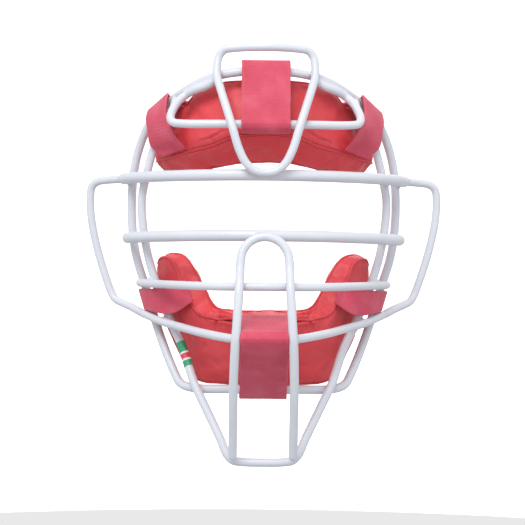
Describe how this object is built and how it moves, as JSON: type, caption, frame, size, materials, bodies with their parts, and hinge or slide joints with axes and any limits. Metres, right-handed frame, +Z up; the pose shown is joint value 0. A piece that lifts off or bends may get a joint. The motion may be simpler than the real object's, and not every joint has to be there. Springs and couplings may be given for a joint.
{
  "type": "catcher's face mask",
  "caption": "Ball catcher's face mask with a white coated wire cage, red padded crown and chin cushions, and hook-and-loop straps that open.",
  "frame": {"origin": "on the plane of symmetry at the height of the wearer's nose bridge, in the plane of the face ring's side wires", "axes": "+Z up; the mask looks along -Y and the wearer's face is on the +Y side; +X is the right of someone who looks at the front"},
  "size_m": [0.2694, 0.1266, 0.3032],
  "materials": {
    "white_coating": "satin dipped plastic coating",
    "red_leather": "smooth satin",
    "red_webbing": "woven nylon",
    "red_hook_and_loop": "hook and loop pile",
    "pad_foam": "soft foam, hidden inside the covers",
    "green_label": "printed wrap"
  },
  "bodies": {
    "cage": {"face_ring": "white_coating", "side_and_throat_frame": "white_coating", "brow_bar": "white_coating", "eye_bar": "white_coating", "cheek_bar": "white_coating", "chin_bar": "white_coating", "nose_loop": "white_coating", "crown_loop": "white_coating", "forehead_bar": "white_coating", "ear_guard_left": "white_coating", "ear_guard_right": "white_coating", "label_sleeve": "green_label", "crown_pad_foam": "pad_foam", "crown_pad_front_cover": "red_leather", "crown_pad_lower_cover": "red_leather", "crown_pad_face_cover": "red_leather", "crown_pad_top_cover": "red_leather", "chin_pad_foam": "pad_foam", "chin_pad_front_cover": "red_leather", "chin_pad_inner_cover": "red_leather", "chin_pad_face_cover": "red_leather", "chin_pad_lower_cover": "red_leather", "crown_centre_strap_band": "red_webbing", "crown_centre_strap_loop_patch": "red_hook_and_loop", "crown_left_strap_band": "red_webbing", "crown_left_strap_loop_patch": "red_hook_and_loop", "crown_right_strap_band": "red_webbing", "crown_right_strap_loop_patch": "red_hook_and_loop", "chin_centre_strap_band": "red_webbing", "chin_centre_strap_loop_patch": "red_hook_and_loop", "chin_left_strap_band": "red_webbing", "chin_left_strap_loop_patch": "red_hook_and_loop", "chin_right_strap_band": "red_webbing", "chin_right_strap_loop_patch": "red_hook_and_loop"},
    "crown_centre_tab": {"crown_centre_strap_tab": "red_webbing", "crown_centre_strap_hook_patch": "red_hook_and_loop"},
    "crown_left_tab": {"crown_left_strap_tab": "red_webbing", "crown_left_strap_hook_patch": "red_hook_and_loop"},
    "crown_right_tab": {"crown_right_strap_tab": "red_webbing", "crown_right_strap_hook_patch": "red_hook_and_loop"},
    "chin_centre_tab": {"chin_centre_strap_tab": "red_webbing", "chin_centre_strap_hook_patch": "red_hook_and_loop"},
    "chin_left_tab": {"chin_left_strap_tab": "red_webbing", "chin_left_strap_hook_patch": "red_hook_and_loop"},
    "chin_right_tab": {"chin_right_strap_tab": "red_webbing", "chin_right_strap_hook_patch": "red_hook_and_loop"}
  },
  "joints": [
    {"name": "crown_centre_tab_hinge", "type": "hinge", "parent": "cage", "child": "crown_centre_tab", "pos_m": [0, -0.0536, 0.1421], "axis": [1, 0, 0], "range_deg": [0, 60]},
    {"name": "chin_centre_tab_hinge", "type": "hinge", "parent": "cage", "child": "chin_centre_tab", "pos_m": [0, -0.0475, -0.0967], "axis": [-1, 0, 0], "range_deg": [0, 75]},
    {"name": "crown_left_tab_hinge", "type": "hinge", "parent": "cage", "child": "crown_left_tab", "pos_m": [-0.07626, -0.01076, 0.11661], "axis": [0.6458, -0.5812, 0.4951], "range_deg": [0, 85]},
    {"name": "chin_left_tab_hinge", "type": "hinge", "parent": "cage", "child": "chin_left_tab", "pos_m": [-0.08475, 0.00194, -0.02818], "axis": [-0.2654, 0.2338, 0.9354], "range_deg": [0, 75]},
    {"name": "crown_right_tab_hinge", "type": "hinge", "parent": "cage", "child": "crown_right_tab", "pos_m": [0.07626, -0.01076, 0.11661], "axis": [0.6458, 0.5812, -0.4951], "range_deg": [0, 85]},
    {"name": "chin_right_tab_hinge", "type": "hinge", "parent": "cage", "child": "chin_right_tab", "pos_m": [0.08475, 0.00194, -0.02818], "axis": [-0.2654, -0.2338, -0.9354], "range_deg": [0, 75]}
  ]
}
